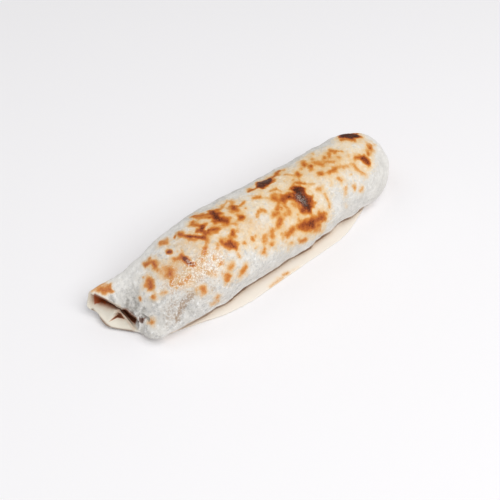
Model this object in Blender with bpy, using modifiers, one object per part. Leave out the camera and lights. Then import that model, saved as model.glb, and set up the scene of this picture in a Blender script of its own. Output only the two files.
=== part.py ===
"""A toasted durum wrap, lying on its side: one thin flatbread rolled round its filling.

The far end (+X) is tucked shut. The near end (-X) is pressed flat and gapes, so its plies show.
The sheet's loose end lies flat along the front (-Y) and the roll rests on it. Metres, +Z up.
"""

import math

import bmesh
import bpy
from mathutils import Matrix, Vector, noise

MM = 0.001

# Driving sizes of the roll
SHEET = 1.8 * MM  # thickness of the flatbread
BODY_FLOOR = 0.6 * MM  # height of the roll's belly, which lies on the loose sheet end
CAP_START = 92 * MM  # where the roll begins to close towards the tucked end
CAP_END = 132 * MM  # the tucked end's furthest point
CAP_BLUNTNESS = 2.2  # 2 is a plain round end
CAP_SHOULDER = 2.1
LAST_CAP_RING = 0.35  # how far the last ring stays from the point, in ring spacings
WAIST = 0.46  # share of the height at which the roll is widest
TOP_SQUARENESS = 2.15  # 2 is an ellipse, more is fuller at the shoulders
BELLY_SQUARENESS = 2.7

RING_POINTS = 52
BODY_STEP = 5.0 * MM
CAP_RINGS = 9

# Cross-sections of the roll from the pressed end to the shut one:
# place along X, middle across, half-width, height, and how far the back edge is lifted
SECTIONS = [
    (-96, -0.4, 28.2, 27, 4.5),
    (-88, -2.2, 29.4, 34, 3.0),
    (-79, -4.0, 30.6, 41.5, 1.2),
    (-64, -5.2, 32.4, 49.5, 0.0),
    (-46, -6.0, 33.0, 53.5, 0.0),
    (-20, -6.4, 32.6, 53, 0.0),
    (10, -6.7, 31.8, 52, 0.0),
    (45, -7.0, 30.8, 50.5, 0.0),
    (80, -7.0, 29.8, 49, 0.0),
    (104, -6.6, 28.8, 47, 0.0),
    (132, -3.4, 27.2, 46, 0.0),
]

# The rim of the open end, seen from outside: angle round the roll from its back edge
# (90 is the top, 180 the front, 270 the belly), then x, y and z
RIM = [
    (0, -119.3, 31.0, 13.0),
    (20, -118.0, 29.6, 20.0),
    (45, -117.2, 25.0, 20.6),
    (65, -114.6, 19.0, 19.8),
    (85, -112.0, 12.0, 18.6),
    (100, -110.6, 6.8, 17.4),
    (112, -108.0, 3.3, 16.6),
    (125, -107.8, -1.5, 15.6),
    (138, -106.6, -5.6, 14.2),
    (155, -106.0, -8.0, 12.6),
    (172, -106.2, -9.0, 10.0),
    (190, -106.8, -9.4, 7.0),
    (205, -107.2, -9.0, 4.6),
    (218, -107.6, -8.0, 2.6),
    (231, -108.6, -6.0, 1.4),
    (245, -110.3, -3.2, 1.0),
    (262, -115.4, 4.0, 1.2),
    (280, -119.4, 10.0, 2.0),
    (300, -120.0, 16.0, 3.3),
    (320, -119.8, 22.0, 4.9),
    (338, -120.4, 28.4, 6.6),
    (350, -120.6, 30.8, 8.0),
]
RIM_RINGS = (0.12, 0.26, 0.42, 0.6, 0.8)  # shares of the way from the rim to the first section
EDGE_TURNS = (30, 90, 150)  # degrees round the sheet's rounded edge

# In front of the mouth's corner the sheet is gathered into a rounded nose
NOSE_ANGLE = 190
NOSE_SPREAD = 34
NOSE_BULGE = Vector((-5.6, -4.4, -0.2)) * MM

# The hollow behind the rim
HOLLOW_DEPTH = 27 * MM
HOLLOW_RINGS = (0.06, 0.2, 0.45, 0.75, 1.0)
HOLLOW_END_HEIGHT = 0.55  # share of its height that the hollow keeps at its end
HOLLOW_END_WIDTH = 0.68
HOLLOW_DRIFT = Vector((0, -4, 4)) * MM  # how far its middle has moved by its end

# Broad lumps and dents of the filling under the sheet: x, angle round the roll, radius, height
LUMPS = [
    (-34, 42, 9, 1.2),
    (101, 74, 15, 2.8),
    (60, 120, 22, 1.0),
    (18, 140, 18, 0.9),
    (-22, 96, 16, 1.1),
    (-62, 118, 13, 1.3),
    (-8, 60, 16, 0.8),
    (40, 78, 14, -0.9),
    (-46, 150, 14, -1.0),
    (-76, 150, 6, -1.3),
    (-72, 172, 7, -1.3),
]
ROLL_RADIUS = 28 * MM  # turns an angle into a distance along the skin
LUMPY = 0.9 * MM  # height of the small unevenness everywhere
LUMP_SPAN = 21 * MM
LUMP_SPREAD_ROUND = 1.5
BELLY_START = 3 * MM  # below this the skin is pressed smooth
BELLY_BLEND = 8 * MM

# Creases that fan out from the mouth's front corner
CREASE_CENTRE = (-106 * MM, -6 * MM)
CREASE_HEIGHT = 0.9 * MM
CREASE_ANGLE = math.radians(24)
CREASE_START = 5 * MM
CREASE_REACH = 17 * MM

# The tucked end: soft folds that run in to a dimple
TUCK_FOLDS = 5
TUCK_SWAY = 1.2  # makes the folds uneven
TUCK_DEPTH = 1.6 * MM
TUCK_DIMPLE = 4.0 * MM

# The loose sheet end in front: x and y of its outer edge
LOOSE_EDGE = [
    (-101, -19.4),
    (-91, -23.0),
    (-72, -28.7),
    (-53, -35.0),
    (-29, -38.2),
    (0, -37.8),
    (45, -38.4),
    (63, -37.0),
    (81, -31.4),
    (100, -24.5),
]
LOOSE_BACK = 6 * MM  # its hidden edge, under the roll
LOOSE_TIP = 3 * MM  # its width at both ends
LOOSE_CELLS = (44, 6)
LOOSE_ROUNDNESS = 6  # of its outline at both ends
LOOSE_CROWDING = 1.6  # crowds its cells towards the outer edge
LOOSE_WAVE = 0.5 * MM
LOOSE_WAVE_SPAN = 23 * MM
LOOSE_WAVE_SEED = 4.0
LOOSE_EDGE_SHARE = 0.62  # share of the sheet's thickness that is left at the outer edge
LOOSE_THINNING = 0.2  # share of its width over which it thins
LOOSE_BEVEL = 0.18  # slope of the outer edge, in cells

# Plies that show in the mouth: rows from the lower lip inwards, each from the back edge forwards
INNER_PLY = [
    [
        (-119.6, 30.0, 8.4), (-119.2, 24.5, 6.6), (-118.6, 19.5, 5.4),
        (-118.0, 15.6, 4.5), (-117.2, 12.2, 3.8),
    ],
    [
        (-118.8, 29.8, 8.8), (-116.8, 25.0, 8.0), (-115.2, 19.8, 7.6),
        (-114.2, 15.2, 7.0), (-113.8, 11.2, 6.4),
    ],
    [
        (-117.4, 29.6, 9.2), (-113.8, 25.2, 9.2), (-111.2, 20.4, 9.8),
        (-110.4, 14.8, 9.7), (-109.9, 9.7, 9.2),
    ],
    [
        (-112.0, 29.2, 8.2), (-108.6, 25.0, 8.0), (-106.4, 20.0, 9.6),
        (-105.6, 14.6, 10.8), (-105.2, 9.6, 10.6),
    ],
]
PLEAT_FIN = [
    [(-109.5, 10.2, 9.9), (-109.2, 6.2, 8.0), (-108.9, 1.8, 5.8), (-108.7, -3.0, 3.6)],
    [(-108.3, 10.2, 6.6), (-108.0, 6.2, 5.2), (-107.8, 1.8, 4.0), (-108.1, -3.2, 2.9)],
    [(-107.2, 10.2, 2.6), (-106.9, 6.2, 2.1), (-106.8, 1.8, 2.0), (-107.4, -3.4, 2.0)],
]
PLY_THICKNESS = 1.5 * MM
FIN_THICKNESS = 1.2 * MM

# The small tear beside the mouth
TEAR_AT = (-104.6 * MM, -8.8 * MM, 13.4 * MM)
TEAR_RADII = (2.6 * MM, 1.5 * MM, 3.0 * MM)


def smooth(t):
    """0 to 1 with a gentle start and end."""
    t = min(max(t, 0.0), 1.0)
    return t * t * (3 - 2 * t)


def curve_through(knots, values, at, period=None):
    """A smooth curve through values at knots, read at one place; it wraps round with a period."""
    count = len(knots)
    if period:
        at %= period
        after = next((i for i in range(count) if knots[i] > at), count)
        index = [(after + k) % count for k in (-2, -1, 0, 1)]
        place = [knots[i] + period * ((after + k) // count) for i, k in zip(index, (-2, -1, 0, 1))]
    else:
        after = min(max(next((i for i in range(count) if knots[i] > at), count - 1), 1), count - 1)
        index = [min(max(after + k, 0), count - 1) for k in (-2, -1, 0, 1)]
        place = [knots[i] for i in index]
    before, left, right, beyond = (values[i] for i in index)
    span = place[2] - place[1]
    slope_left = (right - before) / (place[2] - place[0])
    slope_right = (beyond - left) / (place[3] - place[1])
    t = (at - place[1]) / span
    return (
        left * (2 * t**3 - 3 * t**2 + 1)
        + slope_left * span * (t**3 - 2 * t**2 + t)
        + right * (3 * t**2 - 2 * t**3)
        + slope_right * span * (t**3 - t**2)
    )


def squared(value, squareness):
    return math.copysign(abs(value) ** (2 / squareness), value)


def section_sizes(x):
    places = [row[0] * MM for row in SECTIONS]
    return [curve_through(places, [row[i] * MM for row in SECTIONS], x) for i in (1, 2, 3, 4)]


def section_point(x, angle):
    """A point of the roll's skin, before its lumps."""
    middle, half_width, height, lift = section_sizes(x)
    closing = min(max((x - CAP_START) / (CAP_END - CAP_START), 0.0), 1.0)
    shrink = (1 - closing**CAP_BLUNTNESS) ** (1 / CAP_SHOULDER)
    squareness = TOP_SQUARENESS if math.sin(angle) > 0 else BELLY_SQUARENESS
    across = squared(math.cos(angle), squareness)
    up = squared(math.sin(angle), squareness)
    waist = WAIST * height
    reach = height - waist if up > 0 else waist
    z = waist + up * reach * shrink + BODY_FLOOR + lift * smooth((across + 1) / 2)
    return Vector((x - TUCK_DIMPLE * (1 - shrink) ** 3, middle + across * half_width * shrink, z))


def crease_relief(x, y):
    """Height of the creases round the mouth's front corner."""
    off_x, off_y = x - CREASE_CENTRE[0], y - CREASE_CENTRE[1]
    distance = math.hypot(off_x, off_y)
    fan = math.sin(2 * math.pi * math.atan2(off_y, off_x) / CREASE_ANGLE)
    fading = math.exp(-((distance / CREASE_REACH) ** 2))
    return CREASE_HEIGHT * fan * smooth(distance / CREASE_START) * fading


def skin_relief(x, y, angle):
    """Height of the sheet's lumps, creases and tucked folds over the plain roll."""
    around = LUMP_SPREAD_ROUND * Vector((math.cos(angle), math.sin(angle)))
    height = LUMPY * noise.noise(Vector((x / LUMP_SPAN, *around)))
    for lump_x, lump_angle, radius, lump_height in LUMPS:
        turn = (angle - math.radians(lump_angle) + math.pi) % (2 * math.pi) - math.pi
        distance = math.hypot(x - lump_x * MM, turn * ROLL_RADIUS) / (radius * MM)
        height += lump_height * MM * math.exp(-distance * distance)
    height += crease_relief(x, y) * smooth(2 * math.sin(angle))
    tucked = smooth((x - CAP_START) / (CAP_END - CAP_START)) ** 2
    folds = math.sin(TUCK_FOLDS * angle + TUCK_SWAY * math.sin(2 * angle))
    return height + TUCK_DEPTH * tucked * folds


def skin_ring(x):
    """One closed ring of the roll's skin, with its lumps, which die out on the belly."""
    middle, half_width, height, lift = section_sizes(x)
    centre = Vector((x, middle, WAIST * height))
    ring = []
    for i in range(RING_POINTS):
        angle = 2 * math.pi * i / RING_POINTS
        point = section_point(x, angle)
        outward = (point - centre).normalized()
        bare = smooth((point.z - BELLY_START) / BELLY_BLEND)
        ring.append(point + outward * skin_relief(x, point.y, angle) * bare)
    return ring


def rim_ring():
    """The outer edge of the sheet at the mouth."""
    angles = [row[0] for row in RIM]
    ring = []
    for i in range(RING_POINTS):
        at = 360 * i / RING_POINTS
        columns = [[row[k] * MM for row in RIM] for k in (1, 2, 3)]
        ring.append(Vector([curve_through(angles, column, at, 360) for column in columns]))
    return ring


def mouth_ring(rim):
    """The inner edge of the sheet at the mouth: the rim moved in by the sheet's thickness."""
    count = len(rim)
    ring = []
    for i, point in enumerate(rim):
        along = rim[(i + 1) % count] - rim[i - 1]
        ring.append(point + Vector((0, -along.z, along.y)).normalized() * SHEET)
    return ring


def rounded_edge(rim, mouth, turn):
    """A ring of the sheet's rounded edge, part of the half turn from its outer to its inner face."""
    ring = []
    for outer, inner in zip(rim, mouth):
        bulge = 0.5 * (inner - outer).length * math.sin(turn)
        ring.append(outer.lerp(inner, (1 - math.cos(turn)) / 2) + Vector((-bulge, 0, 0)))
    return ring


def between_rim_and_body(rim, section, share):
    """A ring part of the way from the rim to the first section, swollen at the gathered nose."""
    ring = []
    for i, (edge, skin) in enumerate(zip(rim, section)):
        turn = (360 * i / RING_POINTS - NOSE_ANGLE) / NOSE_SPREAD
        swell = 4 * share * (1 - share) * math.exp(-turn * turn)
        ring.append(edge.lerp(skin, share) + NOSE_BULGE * swell)
    return ring


def hollow_ring(mouth, depth_share):
    """The hollow's wall at a share of its depth: flatter and narrower further in."""
    count = len(mouth)
    centre = sum(mouth, Vector()) / count
    high = 1 - (1 - HOLLOW_END_HEIGHT) * depth_share
    wide = 1 - (1 - HOLLOW_END_WIDTH) * depth_share
    end_x = max(p.x for p in mouth) + HOLLOW_DEPTH
    ring = []
    for point in mouth:
        x = point.x + (end_x - point.x) * depth_share
        y = centre.y + (point.y - centre.y) * wide
        z = centre.z + (point.z - centre.z) * high
        ring.append(Vector((x, y, z)) + HOLLOW_DRIFT * depth_share)
    return ring


def loft(name, rings):
    """A closed skin through rings of like points, with a pole at each end."""
    shape = bmesh.new()
    rows = [[shape.verts.new(p) for p in ring] for ring in rings]
    for one, two in zip(rows, rows[1:]):
        for i in range(len(one)):
            j = (i + 1) % len(one)
            shape.faces.new((one[i], one[j], two[j], two[i]))
    for row, ring in ((rows[0], rings[0]), (rows[-1], rings[-1])):
        pole = shape.verts.new(sum(ring, Vector()) / len(ring))
        for i in range(len(row)):
            shape.faces.new((row[i], row[(i + 1) % len(row)], pole))
    return finished(name, shape)


def finished(name, shape):
    """An object of the shape, with its faces turned outwards."""
    bmesh.ops.recalc_face_normals(shape, faces=shape.faces)
    mesh = bpy.data.meshes.new(name)
    shape.to_mesh(mesh)
    shape.free()
    return bpy.data.objects.new(name, mesh)


def roll_skin():
    """The roll: shut end, skin, rim, and back in along the hollow's wall."""
    rings = []
    for i in range(CAP_RINGS, 0, -1):
        share = math.sin(0.5 * math.pi * (i / (CAP_RINGS + LAST_CAP_RING)))
        rings.append(skin_ring(CAP_START + (CAP_END - CAP_START) * share))
    first = SECTIONS[0][0] * MM
    steps = round((CAP_START - first) / BODY_STEP)
    for i in range(steps + 1):
        rings.append(skin_ring(CAP_START + (first - CAP_START) * i / steps))
    section = rings[-1]
    rim = rim_ring()
    for share in reversed(RIM_RINGS):
        rings.append(between_rim_and_body(rim, section, share))
    mouth = mouth_ring(rim)
    rings.append(rim)
    rings += [rounded_edge(rim, mouth, math.radians(turn)) for turn in EDGE_TURNS]
    rings += [hollow_ring(mouth, share) for share in HOLLOW_RINGS]
    return loft("roll", rings)


def sheet_between(name, rows, thickness, cells):
    """A thin sheet with its middle surface through a few rows of points."""
    shape = bmesh.new()
    bmesh.ops.create_grid(shape, x_segments=cells[0], y_segments=cells[1], size=0.5)
    row_at = range(len(rows))
    point_at = range(len(rows[0]))
    for vert in shape.verts:
        u, v = (vert.co.x + 0.5) * row_at[-1], (vert.co.y + 0.5) * point_at[-1]
        across = [[curve_through(point_at, [p[k] * MM for p in row], v) for k in (0, 1, 2)] for row in rows]
        vert.co = [curve_through(row_at, [p[k] for p in across], u) for k in (0, 1, 2)]
    sheet = finished(name, shape)
    solid = sheet.modifiers.new("thickness", "SOLIDIFY")
    solid.thickness = thickness
    solid.offset = 0
    return sheet


def loose_row(x, share_along, top):
    """Points across the loose end at one place, from its outer edge to its hidden one."""
    outer = curve_through([x * MM for x, y in LOOSE_EDGE], [y * MM for x, y in LOOSE_EDGE], x)
    fullness = math.sqrt(1 - abs(2 * share_along - 1) ** LOOSE_ROUNDNESS)
    inner = outer + LOOSE_TIP + (LOOSE_BACK - outer - LOOSE_TIP) * fullness
    row = []
    shares = [(k / LOOSE_CELLS[1]) ** LOOSE_CROWDING for k in range(LOOSE_CELLS[1] + 1)]
    if top:
        shares[0] = LOOSE_BEVEL * shares[1]
    for share in shares:
        y = outer + (inner - outer) * share
        z = 0.0
        if top:
            spot = Vector((x / LOOSE_WAVE_SPAN, y / LOOSE_WAVE_SPAN, LOOSE_WAVE_SEED))
            wave = LOOSE_WAVE * noise.noise(spot)
            fading = (1 - LOOSE_EDGE_SHARE) * smooth(share / LOOSE_THINNING)
            z = (SHEET + wave) * (LOOSE_EDGE_SHARE + fading)
        row.append((x, y, z))
    return row


def loose_end():
    """The sheet's loose end: flat underneath, a little wavy on top, thin at its outer edge."""
    first, last = LOOSE_EDGE[0][0] * MM, LOOSE_EDGE[-1][0] * MM
    cells_long, cells_wide = LOOSE_CELLS
    shape = bmesh.new()
    layers = []
    for top in (False, True):
        rows = []
        for i in range(cells_long + 1):
            share = i / cells_long
            row = loose_row(first + (last - first) * share, share, top)
            rows.append([shape.verts.new(point) for point in row])
        layers.append(rows)
    for rows in layers:
        for one, two in zip(rows, rows[1:]):
            for k in range(cells_wide):
                shape.faces.new((one[k], one[k + 1], two[k + 1], two[k]))
    below, above = layers
    for i in range(cells_long):
        for k in (0, cells_wide):
            shape.faces.new((below[i][k], below[i + 1][k], above[i + 1][k], above[i][k]))
    for k in range(cells_wide):
        for i in (0, cells_long):
            shape.faces.new((below[i][k], below[i][k + 1], above[i][k + 1], above[i][k]))
    return finished("loose_end", shape)


def tear_cutter():
    """A small egg that cuts the tear."""
    shape = bmesh.new()
    bmesh.ops.create_icosphere(shape, subdivisions=2, radius=1.0)
    for vert in shape.verts:
        vert.co = Vector([c * r for c, r in zip(vert.co, TEAR_RADII)]) + Vector(TEAR_AT)
    return finished("tear_cutter", shape)


def flatbread_material():
    material = bpy.data.materials.new("toasted_flatbread")
    material.use_nodes = True
    shader = material.node_tree.nodes["Principled BSDF"]
    shader.inputs["Base Color"].default_value = (0.76, 0.64, 0.48, 1)
    shader.inputs["Roughness"].default_value = 0.62
    shader.inputs["Metallic"].default_value = 0.0
    return material


def collection_named(name):
    collection = bpy.data.collections.new(name)
    bpy.context.scene.collection.children.link(collection)
    return collection


def applied(thing):
    """The object's shape with its modifiers, as one plain mesh."""
    bpy.context.view_layer.update()
    graph = bpy.context.evaluated_depsgraph_get()
    return bpy.data.meshes.new_from_object(thing.evaluated_get(graph))


def centre_over_box(body, tear):
    """Moves the wrap so that the origin lies under the middle of its box."""
    places = [v.co for v in body.data.vertices]
    middle_x = (min(p.x for p in places) + max(p.x for p in places)) / 2
    middle_y = (min(p.y for p in places) + max(p.y for p in places)) / 2
    body.data.transform(Matrix.Translation((-middle_x, -middle_y, 0)))
    tear.location = (-middle_x, -middle_y, 0)


def build():
    wrap = collection_named("durum_wrap")
    plies = collection_named("fused_plies")
    cutters = collection_named("cutters")
    roll = roll_skin()
    wrap.objects.link(roll)
    fused = [
        loose_end(),
        sheet_between("inner_ply", INNER_PLY, PLY_THICKNESS, (8, 12)),
        sheet_between("pleat_fin", PLEAT_FIN, FIN_THICKNESS, (5, 8)),
    ]
    for piece in fused:
        plies.objects.link(piece)
        piece.data = applied(piece)
        piece.modifiers.clear()
    tear = tear_cutter()
    tear.hide_render = True
    tear.display_type = "WIRE"
    cutters.objects.link(tear)

    union = roll.modifiers.new("plies", "BOOLEAN")
    union.operation = "UNION"
    union.operand_type = "COLLECTION"
    union.collection = plies
    cut = roll.modifiers.new("tear", "BOOLEAN")
    cut.operation = "DIFFERENCE"
    cut.object = tear
    body = bpy.data.objects.new("flatbread_wrap", applied(roll))
    for piece in [roll, *fused]:
        bpy.data.objects.remove(piece)
    bpy.data.collections.remove(plies)
    centre_over_box(body, tear)
    body.data.materials.clear()
    body.data.materials.append(flatbread_material())
    body.data.shade_smooth()
    wrap.objects.link(body)


for thing in list(bpy.data.objects):
    bpy.data.objects.remove(thing)
build()
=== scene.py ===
"""A toasted durum wrap: one thin flatbread rolled round its filling, lying on its side."""

import math
import random

import bpy
import numpy as np
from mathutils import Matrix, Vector, noise
from mathutils.bvhtree import BVHTree


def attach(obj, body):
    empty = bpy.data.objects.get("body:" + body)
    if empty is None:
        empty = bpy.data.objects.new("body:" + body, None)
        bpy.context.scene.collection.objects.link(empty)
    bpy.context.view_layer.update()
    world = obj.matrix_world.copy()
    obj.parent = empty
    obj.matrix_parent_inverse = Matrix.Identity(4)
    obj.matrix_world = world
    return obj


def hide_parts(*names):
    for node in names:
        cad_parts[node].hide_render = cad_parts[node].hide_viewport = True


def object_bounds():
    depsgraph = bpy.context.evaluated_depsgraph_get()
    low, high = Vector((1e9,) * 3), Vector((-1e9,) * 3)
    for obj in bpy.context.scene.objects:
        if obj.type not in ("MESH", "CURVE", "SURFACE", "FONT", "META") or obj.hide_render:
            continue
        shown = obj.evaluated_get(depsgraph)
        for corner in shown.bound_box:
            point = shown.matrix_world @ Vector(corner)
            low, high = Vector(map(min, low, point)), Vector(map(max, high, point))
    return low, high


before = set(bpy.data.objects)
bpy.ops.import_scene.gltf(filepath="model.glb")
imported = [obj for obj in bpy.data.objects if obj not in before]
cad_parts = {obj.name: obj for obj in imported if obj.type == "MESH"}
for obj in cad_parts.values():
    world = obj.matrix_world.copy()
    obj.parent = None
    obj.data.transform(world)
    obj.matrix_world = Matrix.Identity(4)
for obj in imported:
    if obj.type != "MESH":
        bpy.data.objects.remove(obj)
cad_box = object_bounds()

# The camera looks down on the wrap from its open end and its front, with a short telephoto lens.
# Marks and creases further down are placed by where they lie in this view of 500 by 500 points.
LENS = 65.0
SENSOR = 36.0
VIEW_SIZE = 500
LOOK_AT = Vector((-0.004413, 0.004145, 0.0))
ELEVATION = math.radians(44.7)
AZIMUTH = math.radians(-43.0)
DISTANCE = 0.654

back = Vector(
    (
        math.sin(AZIMUTH) * math.cos(ELEVATION),
        -math.cos(AZIMUTH) * math.cos(ELEVATION),
        math.sin(ELEVATION),
    )
)
camera = bpy.data.objects.new("camera", bpy.data.cameras.new("camera"))
camera.data.lens = LENS
camera.data.sensor_width = SENSOR
camera.data.clip_start = 0.01
camera.location = LOOK_AT + back * DISTANCE
camera.rotation_euler = (-back).to_track_quat("-Z", "Y").to_euler()
bpy.context.scene.collection.objects.link(camera)
bpy.context.scene.camera = camera

# Soft studio light: a pale room, one large lamp high in front of the wrap and a weak one behind it.
ROOM_LIGHT = 0.44
bpy.context.scene.view_settings.view_transform = "Standard"
room = bpy.data.worlds.new("room")
room.use_nodes = True
room.node_tree.nodes["Background"].inputs["Color"].default_value = (1.0, 1.0, 1.0, 1)
room.node_tree.nodes["Background"].inputs["Strength"].default_value = ROOM_LIGHT
bpy.context.scene.world = room


def lamp(name, place, width, watts):
    """A square soft lamp that faces the wrap."""
    light = bpy.data.lights.new(name, "AREA")
    light.shape = "SQUARE"
    light.size = width
    light.energy = watts
    holder = bpy.data.objects.new(name, light)
    holder.location = place
    holder.rotation_euler = (-Vector(place)).to_track_quat("-Z", "Y").to_euler()
    bpy.context.scene.collection.objects.link(holder)


lamp("lamp_in_front", (0.05, -1.0, 1.5), 1.6, 23.5)
lamp("lamp_behind", (-0.6, 0.9, 1.6), 1.2, 4.0)

# The plain pale floor that the wrap lies on.
FLOOR_WIDTH = 6.0
FLOOR_DROP = 0.0002
bpy.ops.mesh.primitive_plane_add(size=FLOOR_WIDTH, location=(0, 0, -FLOOR_DROP))
floor = bpy.context.object
floor.name = "floor"
paint = bpy.data.materials.new("floor_paint")
paint.use_nodes = True
paint_shader = paint.node_tree.nodes["Principled BSDF"]
paint_shader.inputs["Base Color"].default_value = (0.925, 0.915, 0.93, 1)
paint_shader.inputs["Roughness"].default_value = 0.9
paint_shader.inputs["Specular IOR Level"].default_value = 0.1
floor.data.materials.append(paint)

# The rolled flatbread: a thin wheat sheet, rolled round the filling, tucked at one end and
# pressed flat at the other, then toasted on a griddle. Its skin starts as the solid's own
# surface, which is meshed evenly and then gets the bread's blisters, creases and torn edge.
MM = 0.001
MERGE_WITHIN = 0.01 * MM
SKIN_CELL = 0.8 * MM

bpy.ops.object.select_all(action="DESELECT")
bread = bpy.data.objects.new("toasted_durum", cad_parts["flatbread_wrap"].data.copy())
bpy.context.scene.collection.objects.link(bread)
bread.select_set(True)
bpy.context.view_layer.objects.active = bread
bpy.ops.object.mode_set(mode="EDIT")
bpy.ops.mesh.select_all(action="SELECT")
bpy.ops.mesh.remove_doubles(threshold=MERGE_WITHIN)
bpy.ops.object.mode_set(mode="OBJECT")
even = bread.modifiers.new("even cells", "REMESH")
even.mode = "VOXEL"
even.voxel_size = SKIN_CELL
bpy.ops.object.modifier_apply(modifier=even.name)

# The flat underside and the back keep this share of their cells, and the mouth gets more
UNDERSIDE_SHARE = 0.08
BACK_SHARE = 0.5
MOUTH_REACH = -107 * MM


def pick_faces(wanted):
    """Selects the faces for which wanted is true and goes to edit mode."""
    bpy.ops.object.mode_set(mode="EDIT")
    bpy.ops.mesh.select_mode(type="FACE")
    bpy.ops.mesh.select_all(action="DESELECT")
    bpy.ops.object.mode_set(mode="OBJECT")
    for face in bread.data.polygons:
        face.select = wanted(face)
    bpy.ops.object.mode_set(mode="EDIT")


pick_faces(lambda face: face.normal.z < -0.95 and face.center.z < 0.4 * MM and face.center.x > MOUTH_REACH)
bpy.ops.mesh.decimate(ratio=UNDERSIDE_SHARE)
pick_faces(lambda face: face.normal.dot(back) < -0.05 and face.center.x > MOUTH_REACH)
bpy.ops.mesh.decimate(ratio=BACK_SHARE)
pick_faces(lambda face: face.center.x < MOUTH_REACH and face.center.z > 1.0 * MM)
bpy.ops.mesh.subdivide(number_cuts=1, smoothness=0.0)
bpy.ops.object.mode_set(mode="OBJECT")


def smooth(t):
    """0 to 1 with a gentle start and end."""
    t = np.clip(t, 0.0, 1.0)
    return t * t * (3 - 2 * t)


# The skin's points, in millimetres, and the pairs of points that its edges join
count = len(bread.data.vertices)
skin = np.empty(count * 3)
bread.data.vertices.foreach_get("co", skin)
skin = skin.reshape(-1, 3) / MM
edges = np.empty(len(bread.data.edges) * 2, dtype=int)
bread.data.edges.foreach_get("vertices", edges)
edges = edges.reshape(-1, 2)
neighbours = np.bincount(edges.ravel(), minlength=count)


def around(values):
    """The mean over each point's neighbours."""
    total = np.empty_like(values)
    for k in range(values.shape[1]):
        total[:, k] = np.bincount(edges[:, 0], values[edges[:, 1], k], count)
        total[:, k] += np.bincount(edges[:, 1], values[edges[:, 0], k], count)
    return total / neighbours[:, None]


# The solid's flat facets are smoothed away, and hardly at the mouth and on the loose end
FACET_ROUNDS = 45
FACET_PULL = 0.5
EDGE_ROUNDS = 3
EDGE_PULL = 0.4
facet_weight = FACET_PULL * smooth((skin[:, 0] + 108) / 10) * smooth((skin[:, 2] - 3) / 5)
for turn in range(FACET_ROUNDS):
    skin += (around(skin) - skin) * facet_weight[:, None]
for turn in range(EDGE_ROUNDS):
    skin += (around(skin) - skin) * EDGE_PULL

# The roll's lower front is drawn in over the loose end, in waves: x, and how far, in millimetres
UNDERCUT = [
    (-104, 0), (-90, 1.6), (-76, 3.2), (-66, 3.6), (-56, 2.4), (-46, 3.5), (-37, 4.0), (-28, 3.2),
    (-14, 2.2), (2, 2.9), (12, 2.0), (22, 0.5), (29, 2.0), (43, 1.3), (53, 3.9), (60, 3.2), (68, 1.8),
    (76, 2.4), (88, 1.4), (98, 0),
]
drawn_in = np.interp(skin[:, 0], *zip(*UNDERCUT)) * smooth((-8 - skin[:, 1]) / 14)
skin[:, 1] += drawn_in * smooth((skin[:, 2] - 2.5) / 4) * smooth((32 - skin[:, 2]) / 18)


def put_back():
    """Gives the bread's mesh the moved points."""
    bread.data.vertices.foreach_set("co", (skin * MM).ravel())
    bread.data.update()


put_back()

# Where things lie: points of the view are found on the skin along the camera's line of sight
surface = BVHTree.FromPolygons([tuple(p) for p in skin], [tuple(f.vertices) for f in bread.data.polygons])
eye = np.array(camera.location) / MM
ahead = -back
rightwards = ahead.cross(Vector((0, 0, 1))).normalized()
upwards = rightwards.cross(ahead)
towards_eye = np.array(back)
# The roll's middle in the view, at its open and its tucked end
NEAR_MIDDLE = np.array((118.0, 300.0))
FAR_MIDDLE = np.array((368.0, 168.0))
SLIDE_STEPS = 12
TRAIL_STEP = 1.3


def on_skin(x, y):
    """The point of the skin that is seen at x, y; a point just outside slides inwards."""
    along = FAR_MIDDLE - NEAR_MIDDLE
    share = np.clip(np.dot((x, y) - NEAR_MIDDLE, along) / np.dot(along, along), 0, 1)
    inwards = NEAR_MIDDLE + share * along - (x, y)
    inwards /= max(np.linalg.norm(inwards), 1e-6)
    for step in range(SLIDE_STEPS):
        across = (x + 0.5 + inwards[0] * step - VIEW_SIZE / 2) * SENSOR / LENS / VIEW_SIZE
        down = (y + 0.5 + inwards[1] * step - VIEW_SIZE / 2) * SENSOR / LENS / VIEW_SIZE
        sight = ahead + rightwards * across - upwards * down
        hit = surface.ray_cast(Vector(eye), sight.normalized())[0]
        if hit:
            return np.array(hit)
    raise ValueError("no skin is seen there")


def trail(x0, y0, x1, y1):
    """Points on the skin from one seen place to another."""
    steps = max(1, round(math.hypot(x1 - x0, y1 - y0) / TRAIL_STEP))
    return np.array(
        [on_skin(x0 + (x1 - x0) * k / steps, y0 + (y1 - y0) * k / steps) for k in range(steps + 1)]
    )


def seen_at(points):
    """Where points of the wrap are seen: x and y in the view."""
    sight = points - eye
    far = sight @ np.array(ahead)
    span = LENS / SENSOR * VIEW_SIZE
    x = VIEW_SIZE / 2 - 0.5 + sight @ np.array(rightwards) / far * span
    return x, VIEW_SIZE / 2 - 0.5 - sight @ np.array(upwards) / far * span


def beside(places, line):
    """Signed distance to the left of a line in the view, and the share of the way along it."""
    best = np.full(len(places[0]), 1e9)
    share = np.zeros(len(best))
    lengths = [math.dist(a, b) for a, b in zip(line, line[1:])]
    done = 0.0
    for (xa, ya), (xb, yb), length in zip(line, line[1:], lengths):
        ux, uy = (xb - xa) / length, (yb - ya) / length
        along = np.clip((places[0] - xa) * ux + (places[1] - ya) * uy, 0, length)
        dx, dy = places[0] - xa - along * ux, places[1] - ya - along * uy
        apart = np.hypot(dx, dy)
        closer = apart < np.abs(best)
        side = np.where(dx * uy - dy * ux > 0, 1.0, -1.0)
        best = np.where(closer, apart * side, best)
        share = np.where(closer, (done + along) / sum(lengths), share)
        done += length
    return best, share


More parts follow.
